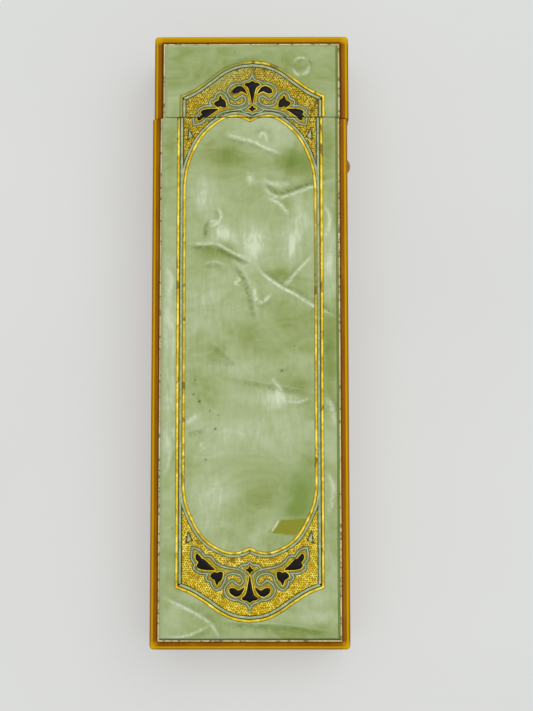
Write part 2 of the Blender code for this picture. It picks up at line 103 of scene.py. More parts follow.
class Look:
    """A Principled material, and short calls for the nodes that feed it."""

    def __init__(self, name, **values):
        self.material = bpy.data.materials.new(name)
        self.material.use_nodes = True
        self.tree = self.material.node_tree
        self.shader = self.tree.nodes["Principled BSDF"]
        self.place = self.node("ShaderNodeTexCoord").outputs["Object"]
        for socket, value in values.items():
            self.shader.inputs[socket.replace("_", " ")].default_value = value

    def node(self, kind, **settings):
        made = self.tree.nodes.new(kind)
        for key, value in settings.items():
            setattr(made, key, value)
        return made

    def put(self, socket, value):
        if isinstance(value, bpy.types.NodeSocket):
            self.tree.links.new(value, socket)
        else:
            socket.default_value = value

    def stretched(self, x=1.0, y=1.0, z=1.0):
        mapping = self.node("ShaderNodeMapping")
        self.put(mapping.inputs["Vector"], self.place)
        mapping.inputs["Scale"].default_value = (x, y, z)
        return mapping.outputs["Vector"]

    def noise(self, size, detail=3.0, distortion=0.0, roughness=0.5, place=None):
        """Noise whose clouds are about `size` mm across."""
        made = self.node("ShaderNodeTexNoise")
        self.put(made.inputs["Vector"], place or self.place)
        made.inputs["Scale"].default_value = 1 / (size * MM)
        made.inputs["Detail"].default_value = detail
        made.inputs["Roughness"].default_value = roughness
        made.inputs["Distortion"].default_value = distortion
        return made.outputs["Fac"]

    def attribute(self, name):
        return self.node("ShaderNodeAttribute", attribute_name=name).outputs["Fac"]

    def edge_distances(self, shift):
        """Distances from the case's long sides and from its ends, each as a share of BORDER_SPAN."""
        parts = self.node("ShaderNodeSeparateXYZ")
        self.put(parts.inputs[0], self.place)
        shares = []
        for axis, half, middle in (("X", HALF_WIDTH, shift), ("Y", HALF_LENGTH, 0.0)):
            off = self.math("ABSOLUTE", self.math("SUBTRACT", parts.outputs[axis], middle * MM))
            shares.append(self.math("DIVIDE", self.math("SUBTRACT", half * MM, off), BORDER_SPAN * MM))
        return shares

    def ramp(self, factor, *stops):
        """Colour ramp: stops are (position, colour)."""
        made = self.node("ShaderNodeValToRGB")
        band = made.color_ramp
        while len(band.elements) < len(stops):
            band.elements.new(1.0)
        for element, (position, colour) in zip(band.elements, stops):
            element.position, element.color = position, colour
        self.put(made.inputs["Fac"], factor)
        return made.outputs["Color"]

    def steps(self, factor, *stops):
        """Grey ramp: stops are (position, value)."""
        return self.ramp(factor, *[(at, (value, value, value, 1.0)) for at, value in stops])

    def mix(self, factor, first, second):
        made = self.node("ShaderNodeMix", data_type="RGBA")
        self.put(made.inputs[0], factor)
        self.put(made.inputs[6], first)
        self.put(made.inputs[7], second)
        return made.outputs[2]

    def layered(self, colour, *layers):
        """The colour with each (factor, colour) layer laid over it in turn."""
        for factor, over in layers:
            colour = self.mix(factor, colour, over)
        return colour

    def math(self, how, first, second=0.0):
        made = self.node("ShaderNodeMath", operation=how)
        self.put(made.inputs[0], first)
        self.put(made.inputs[1], second)
        return made.outputs[0]

    def colour(self, value):
        self.put(self.shader.inputs["Base Color"], value)

    def roughness(self, factor, low, high):
        self.put(self.shader.inputs["Roughness"], self.steps(factor, (0.3, low), (0.7, high)))

    def bump(self, height, depth, strength):
        """Relief of `depth` mm."""
        made = self.node("ShaderNodeBump")
        made.inputs["Strength"].default_value = strength
        made.inputs["Distance"].default_value = depth * MM
        self.put(made.inputs["Height"], height)
        self.put(self.shader.inputs["Normal"], made.outputs["Normal"])


# ---------------------------------------------------------------- materials

def pearl_look():
    """Pale green pearl sheet: clouds, creases with a painted highlight and painted shade, specks, a darkened rim,
    and a cut bevel with a painted highlight on its left and painted shade on its right.
    """
    look = Look("green_pearl", Specular_IOR_Level=0.14)
    clouds = look.noise(9.0, detail=3.0, distortion=1.2)
    wisps = look.noise(2.6, detail=5.0, distortion=2.2, place=look.stretched(0.6, 1.1, 1.0))
    drips = look.noise(0.9, detail=3.0, distortion=0.6, place=look.stretched(1.6, 0.35, 1.0))
    streaks = look.math("MULTIPLY", drips, 2.0)
    depth = 0.1
    for part, share in ((clouds, 0.48), (wisps, 0.22), (drips, 0.14), (look.attribute("cloud"), streaks)):
        depth = look.math("ADD", look.math("MULTIPLY", part, share), depth)
    sheet = look.ramp(
        depth,
        (0.20, srgb(106, 128, 42)),
        (0.38, srgb(138, 153, 84)),
        (0.52, srgb(162, 176, 124)),
        (0.66, srgb(178, 191, 150)),
        (0.82, srgb(208, 218, 186)),
    )
    frayed = look.steps(look.noise(0.7, detail=5.0, distortion=1.0), (0.36, 0.25), (0.56, 1.0))
    sheet = look.layered(
        sheet,
        (look.attribute("green"), srgb(112, 138, 44)),
        (look.attribute("yellow"), srgb(134, 136, 2)),
        # painted shade beside the creases and the dent's ring, then their painted highlight, both broken up by
        # noise
        (look.math("MULTIPLY", look.attribute("painted_shade"), frayed), srgb(100, 124, 46)),
        (look.math("MULTIPLY", look.attribute("painted_highlight"), frayed), srgb(226, 234, 206)),
        (look.attribute("speck"), srgb(48, 54, 20)),
        # painted highlight on the bevel's left side and painted shade on its right side
        (look.attribute("bevel_painted_highlight"), srgb(178, 192, 150)),
        (look.attribute("bevel_painted_shade"), srgb(96, 120, 46)),
        # the sheet darker along its outer edge, and more along the body sheet's bottom end
        (look.attribute("rim_dirt"), srgb(58, 62, 18)),
    )
    look.colour(sheet)
    look.roughness(wisps, 0.2, 0.34)
    look.bump(look.noise(1.4, detail=4.0, distortion=1.0), 0.012, 0.3)
    return look.material


def rolled_border(look, body, shift, painted_end_light):
    """The body colour with a plate's border over it.

    The plate has a painted highlight along its rolled edge, painted light in its corners, and painted shade, a
    little at its outer edge and most on the inner side of its border. `shift` is how far to the right of the middle
    it lies, in mm, and the last argument is how much painted light lies over its whole end.
    """
    across, along = look.edge_distances(shift)
    border = look.math("MINIMUM", across, along)
    corner = look.math("MAXIMUM", across, along)
    roll = 0.5 / BORDER_SPAN  # the rolled edge's width
    # painted shade: a little at the plate's outer edge, most on the inner side of its border
    painted_border_shade = look.steps(border, (0.0, 0.3), (0.25 * roll, 0.0), (1.6 * roll, 0.0), (2.1 * roll, 0.9))
    # painted highlight along the rolled edge
    glow = look.steps(border, (0.3 * roll, 0.1), (0.55 * roll, 0.9), (0.8 * roll, 0.9), (1.1 * roll, 0.0))
    # Layers: painted light over the whole end, painted shade, the painted highlight along the rolled edge, and
    # painted light in the corners.
    return look.layered(
        body,
        (look.steps(along, (0.6, painted_end_light), (0.95, 0.0)), srgb(206, 158, 0)),
        (painted_border_shade, srgb(82, 36, 2)),
        (glow, srgb(214, 162, 0)),
        (look.steps(corner, (0.3, 0.8), (0.95, 0.0)), srgb(220, 176, 0)),
    )


def amber_look(name, shift=None, painted_end_light=0.0):
    """Amber celluloid: glossy, with fine scuffs. It is a wall's, unless `shift` is given: see rolled_border."""
    look = Look(name, Specular_IOR_Level=0.22 if shift is None else 0.04)
    streaks = look.noise(3.0, detail=4.0, distortion=0.6, place=look.stretched(1.6, 0.5, 1.6))
    if shift is None:
        body = look.ramp(streaks, (0.25, srgb(154, 94, 0)), (0.55, srgb(166, 108, 0)), (0.8, srgb(178, 122, 2)))
    else:
        body = look.ramp(streaks, (0.3, srgb(134, 80, 0)), (0.55, srgb(145, 94, 0)), (0.75, srgb(158, 108, 0)))
        body = rolled_border(look, body, shift, painted_end_light)
    scuffs = look.steps(look.noise(0.35, detail=6.0, roughness=0.7), (0.64, 0.0), (0.72, 1.0))
    look.colour(look.mix(look.math("MULTIPLY", scuffs, 0.25), body, srgb(204, 146, 20)))
    look.roughness(streaks, 0.16, 0.3)
    look.bump(look.noise(0.8, detail=5.0), 0.012, 0.3)
    return look.material


def cream_look():
    look = Look("cream_celluloid", Specular_IOR_Level=0.3)
    tone = look.noise(1.6, detail=5.0, place=look.stretched(1.0, 0.4, 1.0))
    clean = look.ramp(tone, (0.3, srgb(190, 164, 98)), (0.6, srgb(222, 208, 148)), (0.8, srgb(236, 224, 178)))
    dirt = look.steps(look.noise(0.5, detail=4.0), (0.54, 0.0), (0.62, 0.75))
    look.colour(look.mix(dirt, clean, srgb(96, 82, 30)))
    look.roughness(tone, 0.3, 0.45)
    look.bump(tone, 0.01, 0.3)
    return look.material


def gold_look(name, patina_size, most_worn):
    """Stamped gilt.

    `relief` is 1 on the high parts, which are painted brightest, and 0 in the grooves, which are painted
    brown-black as shade. Where `worn` is 1, the sheet shows through by `most_worn`.
    """
    look = Look(name, Metallic=0.3, Specular_IOR_Level=0.15)
    relief = look.attribute("relief")
    patina = look.noise(patina_size, detail=5.0, distortion=0.8)
    bright = look.ramp(patina, (0.32, srgb(176, 144, 4)), (0.48, srgb(216, 184, 24)), (0.66, srgb(244, 224, 96)))
    # painted shade: the gilt is duller where relief is low
    gilt = look.mix(look.steps(relief, (0.3, 0.0), (0.85, 1.0)), srgb(116, 98, 4), bright)
    bared = look.ramp(relief, (0.6, srgb(148, 162, 104)), (0.95, srgb(126, 122, 40)))
    gilt = look.mix(look.math("MULTIPLY", look.attribute("worn"), most_worn), gilt, bared)
    nicks = look.noise(0.9, detail=3.0, place=look.stretched(0.8, 0.5, 0.8))
    gilt = look.mix(look.steps(nicks, (0.62, 0.0), (0.68, 0.75)), gilt, srgb(96, 74, 8))
    # painted shade: the grooves brown-black
    look.colour(look.mix(look.steps(relief, (0.05, 0.0), (0.3, 1.0)), srgb(52, 42, 4), gilt))
    look.roughness(patina, 0.28, 0.45)
    look.bump(look.noise(0.12, detail=3.0), 0.01, 0.35)
    return look.material


def scroll_look():
    """Pale silvery line of bare sheet between two grooves painted dark as shade."""
    look = Look("bare_scroll", Specular_IOR_Level=0.2)
    relief = look.attribute("relief")
    tone = look.noise(0.7, detail=4.0)
    pale = look.ramp(tone, (0.3, srgb(138, 152, 100)), (0.6, srgb(168, 182, 138)), (0.8, srgb(196, 206, 168)))
    # painted shade: the grooves dark where relief is low
    look.colour(look.mix(look.steps(relief, (0.25, 0.0), (0.7, 1.0)), srgb(50, 52, 20), pale))
    look.roughness(tone, 0.25, 0.4)
    look.bump(tone, 0.01, 0.3)
    return look.material


def enamel_look():
    look = Look("black_enamel", Specular_IOR_Level=0.1)
    dust = look.steps(look.noise(0.22, detail=5.0, roughness=0.7), (0.64, 0.0), (0.74, 1.0))
    look.colour(look.mix(dust, srgb(3, 3, 7), srgb(44, 46, 48)))
    look.roughness(look.noise(0.6, detail=3.0), 0.12, 0.3)
    look.bump(look.noise(0.3, detail=4.0), 0.012, 0.4)
    return look.material


def metal_look(name, dark, light, low, high):
    """Drawn brass sheet: fine lines along the case, a little tarnish."""
    look = Look(name, Metallic=1.0)
    tarnish = look.noise(2.5, detail=5.0, distortion=0.5)
    look.colour(look.ramp(tarnish, (0.3, dark), (0.6, light)))
    look.roughness(tarnish, low, high)
    look.bump(look.noise(0.25, detail=4.0, place=look.stretched(3.0, 0.15, 3.0)), 0.012, 0.4)
    return look.material


def wood_look():
    look = Look("boxwood")
    grain = look.noise(0.8, detail=6.0, distortion=1.2, place=look.stretched(1.0, 0.08, 1.0))
    look.colour(
        look.ramp(grain, (0.3, srgb(150, 112, 60)), (0.55, srgb(190, 152, 92)), (0.75, srgb(206, 172, 112)))
    )
    look.roughness(grain, 0.45, 0.65)
    look.bump(grain, 0.03, 0.5)
    return look.material


def wax_look():
    look = Look("lipstick_wax", Subsurface_Weight=0.1, Coat_Weight=0.1)
    look.shader.inputs["Subsurface Radius"].default_value = (0.8 * MM, 0.2 * MM, 0.2 * MM)
    bloom = look.noise(1.2, detail=5.0)
    look.colour(look.ramp(bloom, (0.35, srgb(128, 16, 26)), (0.7, srgb(158, 30, 40))))
    look.roughness(bloom, 0.3, 0.5)
    look.bump(look.noise(0.5, detail=4.0, place=look.stretched(1.0, 0.3, 1.0)), 0.02, 0.4)
    return look.material


LOOKS = {
    "green_pearl_celluloid": pearl_look(),
    "amber_celluloid": amber_look("amber_wall"),
    "cream_celluloid": cream_look(),
    "spring_brass": metal_look("spring_brass", srgb(140, 104, 44), srgb(206, 168, 84), 0.25, 0.4),
    "gilt_brass": metal_look("gilt_brass", srgb(190, 142, 44), srgb(236, 196, 98), 0.14, 0.26),
    "boxwood": wood_look(),
    "lipstick_wax": wax_look(),
}
GILT_LINE, GILT_FIELD = gold_look("gilt_line", 1.2, 0.95), gold_look("gilt_field", 0.9, 0.5)
SCROLL, ENAMEL = scroll_look(), enamel_look()


def slot_of(node):
    """The record's material slot of a CAD node, which its material is named after."""
    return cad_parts[node].data.materials[0].name.split(".")[0]


def dress_cad_nodes():
    """Gives every CAD node the look of its slot. All slots are read before any material is cleared."""
    slots = {name: slot_of(name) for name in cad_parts}
    # The lid's plate gets painted light over its whole end.
    plates = {"body": amber_look("amber_body_plate", 0.0), "lid": amber_look("amber_lid_plate", LID_SHIFT, 0.6)}
    for name, slot in slots.items():
        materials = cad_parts[name].data.materials
        materials.clear()
        is_amber_plate = slot == "amber_celluloid" and name.endswith("_plate")
        materials.append(plates[name.split("_")[0]] if is_amber_plate else LOOKS[slot])


# ---------------------------------------------------------------- curves, in mm

def curve(points, step=0.08, loop=False):
    """Smooth run through the points (a centripetal Catmull-Rom spline), sampled about every `step` mm.

    A loop ends on the sample before its first point.
    """
    points = np.array(points, float)
    if loop:
        padded = np.vstack([points[-1], points, points[0], points[1]])
    else:
        padded = np.vstack([2 * points[0] - points[1], points, 2 * points[-1] - points[-2]])
    run = [padded[1]]
    for p0, p1, p2, p3 in zip(padded, padded[1:], padded[2:], padded[3:]):
        knots = np.cumsum([0.0] + [math.sqrt(math.dist(a, b)) for a, b in ((p0, p1), (p1, p2), (p2, p3))])
        count = max(2, math.ceil(math.dist(p1, p2) / step))
        for t in np.linspace(knots[1], knots[2], count + 1)[1:]:
            a1 = p0 + (p1 - p0) * (t - knots[0]) / (knots[1] - knots[0])
            a2 = p1 + (p2 - p1) * (t - knots[1]) / (knots[2] - knots[1])
            a3 = p2 + (p3 - p2) * (t - knots[2]) / (knots[3] - knots[2])
            b1 = a1 + (a2 - a1) * (t - knots[0]) / (knots[2] - knots[0])
            b2 = a2 + (a3 - a2) * (t - knots[1]) / (knots[3] - knots[1])
            run.append(b1 + (b2 - b1) * (t - knots[1]) / (knots[2] - knots[1]))
    return np.array(run[:-1] if loop else run)


def joined(*runs):
    """Runs end to end, each one's first point being the last one's end."""
    return np.vstack([runs[0], *[run[1:] for run in runs[1:]]])


def mirrored(run):
    """A half that starts or ends on the middle line, with its mirror image in X."""
    other = run[::-1] * (-1, 1)
    return joined(other, run) if abs(run[0][0]) < 1e-6 else joined(run, other)


def distance_to(places, samples):
    """Distance from each place to the nearest sample, worked out in slices to spare memory."""
    nearest = np.empty(len(places))
    for start in range(0, len(places), 2000):
        part = places[start : start + 2000]
        gaps = part[:, None, :] - samples[None, :, :]
        nearest[start : start + 2000] = np.sqrt((gaps**2).sum(2).min(1))
    return nearest


def inside(places, outline):
    """Which places lie inside the closed outline."""
    x, y = places.T
    result = np.zeros(len(places), bool)
    for (x1, y1), (x2, y2) in zip(outline, np.roll(outline, -1, axis=0)):
        if y1 != y2:
            crosses = (y1 > y) != (y2 > y)
            result ^= crosses & (x < (x2 - x1) * (y - y1) / (y2 - y1) + x1)
    return result


def fade(values, low, high):
    """0 at low, 1 at high, smooth in between."""
    t = np.clip((values - low) / (high - low), 0, 1)
    return t * t * (3 - 2 * t)


# ---------------------------------------------------------------- pieces

def mesh_piece(name, vertices, faces, material, attributes):
    """A smooth-shaded mesh object from vertices in mm."""
    mesh = bpy.data.meshes.new(name)
    mesh.from_pydata((np.asarray(vertices) * MM).tolist(), [], faces)
    for key, values in attributes.items():
        mesh.attributes.new(key, "FLOAT", "POINT").data.foreach_set("value", np.asarray(values, np.float32))
    mesh.materials.append(material)
    mesh.shade_smooth()
    obj = bpy.data.objects.new(name, mesh)
    bpy.context.scene.collection.objects.link(obj)
    return obj


def closed_below(vertices, faces, attributes, z_low):
    """The surface with walls down from its rim and a floor at z_low."""
    vertices = np.asarray(vertices)
    count = len(vertices)
    edges = {}
    for face in faces:
        for a, b in zip(face, face[1:] + face[:1]):
            edges[a, b] = edges.get((a, b), 0) + 1
    rim = [(a, b) for a, b in edges if (b, a) not in edges]
    under = vertices.copy()
    under[:, 2] = z_low
    walls = [[b, a, a + count, b + count] for a, b in rim]
    floor = [[index + count for index in reversed(face)] for face in faces]
    both = {key: np.concatenate([values, values]) for key, values in attributes.items()}
    return np.vstack([vertices, under]), faces + walls + floor, both


def cut_to(obj, y, keep_above):
    """Cuts the object's mesh at y (mm), keeps one side and closes the cut. False if nothing is left."""
    bm = bmesh.new()
    bm.from_mesh(obj.data)
    everything = bm.verts[:] + bm.edges[:] + bm.faces[:]
    bmesh.ops.bisect_plane(
        bm, geom=everything, dist=1e-7, plane_co=(0, y * MM, 0), plane_no=(0, 1, 0),
        clear_inner=keep_above, clear_outer=not keep_above,
    )
    bmesh.ops.holes_fill(bm, edges=[edge for edge in bm.edges if edge.is_boundary])
    bm.to_mesh(obj.data)
    left = len(bm.faces) > 0
    bm.free()
    return left


def stamped(name, vertices, faces, material, attributes):
    """The piece cut at the seam: its lower part rides on the body, its upper part on the lid, a little shifted."""
    worn = np.clip(spots(np.asarray(vertices)[:, :2], WORN), 0, 1)
    attributes = {**attributes, "worn": worn}
    for body, edge in (("case_body", BODY_EDGE), ("lid", LID_EDGE)):
        above = body == "lid"
        obj = mesh_piece(f"{body}_{name}", vertices, faces, material, attributes)
        if not cut_to(obj, edge, above):
            bpy.data.objects.remove(obj)
            continue
        if above:
            for vertex in obj.data.vertices:
                vertex.co.x += LID_STAMP_SHIFT * MM
        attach(obj, body)


def ribbon(name, run, profile, material, loop=False):
    """A raised line along the run. The profile is (offset to the left, height, relief) in mm across it."""
    ahead = np.roll(run, -1, axis=0) - run
    behind = run - np.roll(run, 1, axis=0)
    if not loop:
        ahead[-1], behind[0] = behind[-1], ahead[0]
    ahead /= np.linalg.norm(ahead, axis=1)[:, None]
    behind /= np.linalg.norm(behind, axis=1)[:, None]
    middle = ahead + behind
    middle /= np.linalg.norm(middle, axis=1)[:, None]
    stretch = 1 / np.clip((middle * ahead).sum(1), 0.6, 1)  # keeps the width round a corner
    left = np.column_stack([-middle[:, 1], middle[:, 0]]) * stretch[:, None]
    section = [(profile[0][0], -SINK, 0.0), *profile, (profile[-1][0], -SINK, 0.0)]
    wide = len(section)
    vertices, relief = [], []
    for point, side in zip(run, left):
        for offset, height, tone in section:
            vertices.append((*(point + side * offset), FRONT_TOP + height))
            relief.append(tone)
    faces = []
    rows = len(run)
    for row in range(rows if loop else rows - 1):
        here, there = row * wide, (row + 1) % rows * wide
        for k in range(wide):
            beside = (k + 1) % wide
            faces.append([here + k, there + k, there + beside, here + beside])
    if not loop:
        faces.append(list(range(wide)))
        faces.append([(rows - 1) * wide + k for k in reversed(range(wide))])
    stamped(name, vertices, faces, material, {"relief": relief})


def filled(name, outline, heights, material):
    """A domed fill of the outline. heights are the edge's and the crown's, in mm."""
    low, high = outline.min(0), outline.max(0)
    grid = np.stack(np.meshgrid(np.arange(low[0], high[0], FILL_STEP), np.arange(low[1], high[1], FILL_STEP)), -1)
    grid = grid.reshape(-1, 2)
    grid = grid[inside(grid, outline)]
    if len(grid):
        grid = grid[distance_to(grid, outline) > FILL_STEP * 0.6]
    count = len(outline)
    ring = [(k, (k + 1) % count) for k in range(count)]
    corners = [tuple(place) for place in np.vstack([outline, grid])]
    points, _, faces, *_ = delaunay_2d_cdt(corners, ring, [], 1, 1e-6)
    places = np.array([tuple(point) for point in points])
    edge, crown = heights
    rise = np.sqrt(np.clip(distance_to(places, outline) / DOME_SLOPE, 0, 1))
    vertices = np.column_stack([places, FRONT_TOP + edge + (crown - edge) * rise])
    faces = [list(face) for face in faces]
    first = places[faces[0]]
    if np.cross(first[1] - first[0], first[2] - first[0]) < 0:
        faces = [face[::-1] for face in faces]
    vertices, faces, attributes = closed_below(vertices, faces, {"relief": np.ones(len(places))}, FRONT_TOP - SINK)
    stamped(name, vertices, faces, material, attributes)


# ---------------------------------------------------------------- front panels

# Creases of the pearl sheet: (points, width of the painted highlight along the line, its strength, strength of the
# painted shade beside it). The painted shade is on the left of the run for a positive last value.
CREASES = [
    ([(-3.4, 26.5), (-2.2, 26.0), (0.5, 25.3), (2.1, 24.5), (4.0, 23.7)], 0.20, 0.9, -0.5),
    ([(1.2, 25.7), (1.5, 26.4), (2.0, 26.3), (2.3, 25.1)], 0.16, 0.8, 0.3),
    ([(1.4, 20.6), (2.4, 18.7), (3.8, 18.0), (5.4, 18.4), (8.1, 19.4), (11.0, 20.4)], 0.22, 0.7, 0.9),
    ([(0.0, 21.5), (0.0, 20.6), (0.3, 19.5)], 0.45, 0.5, -0.2),
    ([(1.3, 20.5), (2.6, 19.9), (4.2, 19.7), (5.4, 20.0)], 0.35, 0.5, 0.2),
    ([(2.2, 18.1), (4.0, 17.0), (5.0, 15.7)], 0.20, 0.8, 0.2),
    ([(-6.1, 12.4), (-6.1, 14.1), (-5.5, 15.2)], 0.20, 0.1, -0.8),
    ([(-5.5, 14.2), (-4.2, 14.6), (-3.7, 15.6), (-4.3, 16.8)], 0.20, 0.7, 0.5),
    ([(-5.2, 14.8), (-4.0, 14.9)], 0.22, 0.8, -0.2),
    ([(-8.2, 12.0), (-6.1, 11.9), (-4.4, 11.9), (-2.2, 10.8), (0.7, 9.4)], 0.20, 0.7, -0.9),
    ([(0.7, 9.4), (1.6, 8.1), (4.0, 6.3), (5.9, 5.3), (8.1, 3.9), (11.0, 2.5)], 0.17, 1.0, 0.5),
    ([(-2.2, 9.8), (-1.0, 8.6), (-0.1, 6.9), (0.6, 4.5), (1.1, 1.9)], 0.20, 0.4, -0.8),
    ([(0.5, 7.0), (0.9, 4.6), (1.5, 4.3), (2.9, 5.5)], 0.22, 0.8, -0.3),
    ([(4.1, 6.3), (5.9, 8.1), (8.1, 10.5)], 0.18, 0.7, 0.3),
    ([(4.5, 6.3), (5.6, 7.4)], 0.12, 0.6, 0.2),
    ([(-1.7, 7.7), (-1.3, 7.2), (-1.9, 6.9), (-1.2, 6.4)], 0.15, 0.8, 0.3),
    ([(-6.0, 9.3), (-4.6, 9.6), (-3.2, 9.2)], 0.14, 0.4, -0.4),
    ([(-5.8, -0.8), (-4.5, -1.0), (-3.2, -2.1), (-1.7, -3.8), (-5.6, -3.9)], 0.10, 0.2, -0.4),
    ([(-3.2, -5.0), (2.4, -6.1), (7.9, -7.1)], 0.10, 0.2, -0.6),
    ([(2.8, -5.3), (3.6, -6.4), (4.3, -7.3)], 0.22, 0.6, 0.1),
    ([(4.4, -8.3), (6.2, -8.5), (7.8, -7.9)], 0.15, 0.6, -0.2),
    ([(-8.2, -11.2), (-7.2, -10.6), (-6.5, -10.0)], 0.35, 0.6, 0.2),
    ([(-8.2, -12.3), (-7.0, -11.9), (-5.6, -11.7)], 0.12, 0.2, -0.5),
    ([(-6.3, -13.6), (-5.7, -14.6)], 0.3, 0.5, 0.0),
    ([(2.4, -25.2), (3.1, -24.4), (3.8, -23.3)], 0.10, 1.0, 0.0),
    ([(-11.3, -32.9), (-6.4, -35.3), (-4.8, -36.5), (-3.6, -38.4)], 0.16, 0.8, 0.4),
    ([(-10.9, -38.3), (-7.5, -37.7), (-4.7, -36.4)], 0.16, 0.7, -0.4),
    ([(-4.5, -35.9), (5.2, -36.5), (11.1, -37.4)], 0.12, 0.3, -0.7),
    ([(9.6, -7.8), (10.4, -9.0), (11.0, -11.5)], 0.4, 0.5, 0.6),
    ([(9.5, 16.9), (10.3, 15.6), (10.1, 13.2)], 0.25, 0.7, 0.2),
    ([(-10.8, 9.0), (-10.0, 7.2), (-10.6, 4.5)], 0.3, 0.5, 0.3),
    ([(-10.9, -12.0), (-10.1, -14.5), (-10.8, -18.0)], 0.3, 0.4, 0.3),
    ([(9.7, -17.0), (10.6, -19.5), (9.9, -23.0)], 0.3, 0.5, 0.2),
]
# Soft clouds in the sheet: (x, y, half width, half height, lighter or darker).
CLOUDS = [
    (-2.7, 23.4, 4.2, 2.4, -0.20), (5.4, 22.6, 2.4, 1.6, -0.24), (-3.7, 13.1, 1.3, 1.0, 0.26),
    (0.5, 11.9, 1.6, 2.2, 0.32), (5.4, 11.4, 1.2, 2.6, 0.26), (4.1, 7.7, 2.6, 1.2, -0.16),
    (-4.0, 11.0, 2.8, 0.9, -0.20), (6.8, 15.4, 1.2, 2.0, 0.18), (-6.0, 19.0, 1.6, 3.2, 0.12),
    (-5.6, 4.0, 3.0, 3.6, 0.12), (5.0, -1.6, 3.2, 1.4, -0.10), (3.6, -7.8, 1.9, 1.2, 0.34),
    (5.9, -6.4, 2.0, 0.8, -0.14), (0.5, -12.2, 7.0, 2.2, 0.10), (1.0, -16.8, 7.0, 1.6, -0.10),
    (-5.0, -21.0, 2.6, 3.6, 0.13), (0.5, -21.5, 3.0, 2.4, -0.06), (-4.2, -2.6, 1.1, 1.2, -0.08),
    (10.2, 9.0, 0.9, 5.0, 0.18), (10.2, -3.0, 0.9, 5.0, -0.2), (-10.2, 24.0, 0.9, 4.0, -0.10),
    (10.2, 24.5, 0.9, 3.0, -0.12), (0.0, 35.0, 14.0, 3.4, -0.16), (5.0, -37.3, 6.0, 0.9, -0.14),
    (8.5, -35.6, 2.2, 0.8, 0.12), (-10.2, -2.0, 1.0, 14.0, 0.16), (2.5, 1.2, 4.0, 1.6, -0.08),
    (-2.0, -4.0, 5.0, 1.4, 0.08),
]
GREEN_PATCHES = [(5.4, 22.8, 2.4, 1.4, 0.35), (6.6, -20.0, 1.9, 3.0, 0.9), (5.4, -22.4, 1.8, 1.1, 0.6)]
PALE_YELLOW = [(-5.3, 21.0, 1.8, 1.3, 0.22), (4.8, 17.2, 0.8, 0.8, 0.25), (7.0, 11.8, 0.8, 1.8, 0.12)]
SPECKS = [
    (-7.0, -5.6, 0.10), (-7.2, -7.5, 0.12), (-6.4, -8.4, 0.16), (-5.6, -15.8, 0.12), (4.1, -4.5, 0.15),
    (5.7, -1.3, 0.09), (-4.4, -11.9, 0.14), (-7.4, -12.8, 0.08), (-5.1, -9.6, 0.10), (-4.0, -10.1, 0.08),
    (6.4, -27.9, 0.12), (-9.8, -24.4, 0.10), (10.1, 3.2, 0.09), (-2.0, 37.2, 0.08),
]
FLAKE = [(2.3, -25.0), (3.9, -23.4), (7.3, -23.2), (6.6, -24.6), (5.7, -25.4)]
# Where the gilt is thin, in the same form as the clouds.
WORN = [
    (-5.4, 33.8, 3.0, 1.2, 1.2), (-8.3, 31.9, 1.3, 0.7, 0.9), (-2.2, 35.4, 2.6, 0.9, 1.2),
    (4.2, 34.6, 1.6, 0.8, 0.9), (-9.3, 29.6, 0.4, 2.6, 1.0), (-5.5, 32.2, 3.0, 1.0, 0.3),
    (8.45, 9.0, 0.35, 6.5, 1.1), (8.45, -6.0, 0.35, 2.0, 0.6), (-8.45, 4.0, 0.35, 12.0, 0.45),
]
DENT_MIDDLE, DENT_RADIUS = (6.8, 35.3), 1.15  # a round bruise in the lid's sheet

CREASE_REACH = 1.6  # no crease shows further from its line than this
# SHADE_AWAY and SHADE_WIDTH place the painted shade beside a crease.
SHADE_AWAY, SHADE_WIDTH = 0.45, 0.42  # where the dark side of a crease is darkest, and its half width


def spots(places, patches):
    """Sum of soft ellipses."""
    total = np.zeros(len(places))
    for x, y, wide, tall, amount in patches:
        far = ((places[:, 0] - x) / wide) ** 2 + ((places[:, 1] - y) / tall) ** 2
        total += amount * np.exp(-far)
    return total


def creased(places):
    """How much painted highlight along a crease's line, and painted shade on one side of it, each place has."""
    light, dark = np.zeros(len(places)), np.zeros(len(places))
    for points, width, shine, shade in CREASES:
        run = curve(points, 0.15)
        near = (places > run.min(0) - CREASE_REACH).all(1) & (places < run.max(0) + CREASE_REACH).all(1)
        near = np.where(near)[0]
        if not len(near):
            continue
        gaps = places[near][:, None, :] - run[None, :, :]
        far = np.sqrt((gaps**2).sum(2))
        nearest = far.argmin(1)
        away = far.min(1)
        along = np.gradient(run, axis=0)[nearest]
        gap = gaps[np.arange(len(near)), nearest]
        side = np.sign(along[:, 0] * gap[:, 1] - along[:, 1] * gap[:, 0])
        share = nearest / (len(run) - 1)
        taper = fade(np.minimum(share, 1 - share), -0.05, 0.25)
        light[near] = np.maximum(light[near], shine * taper * np.exp(-((away / width) ** 2)))
        signed = away * side * (1 if shade > 0 else -1)
        under = np.exp(-(((signed - SHADE_AWAY) / SHADE_WIDTH) ** 2))
        dark[near] = np.maximum(dark[near], abs(shade) * taper * under)
    return light, dark


def dented(places):
    """How much painted highlight and painted shade each place has from the bruise's ring, and how deep it lies in
    it, 0 to 1.
    """
    off_x, off_y = (places - DENT_MIDDLE).T
    away = np.hypot(off_x, off_y) / DENT_RADIUS
    turn = np.arctan2(off_y, off_x)
    ring = np.exp(-(((away - 0.8) / 0.2) ** 2))
    lip = np.exp(-(((away - 1.05) / 0.12) ** 2))

    def towards(angle, start):
        return fade(np.cos(turn - angle), start, 1.0)

    light = np.maximum(0.8 * ring * towards(-0.9, 0.2), 0.7 * lip * (towards(1.8, 0.4) + towards(-2.3, 0.7)))
    dark = 0.7 * np.maximum(lip * towards(0.3, 0.4), ring * towards(2.7, 0.1))
    return light, dark, np.exp(-(away**4))


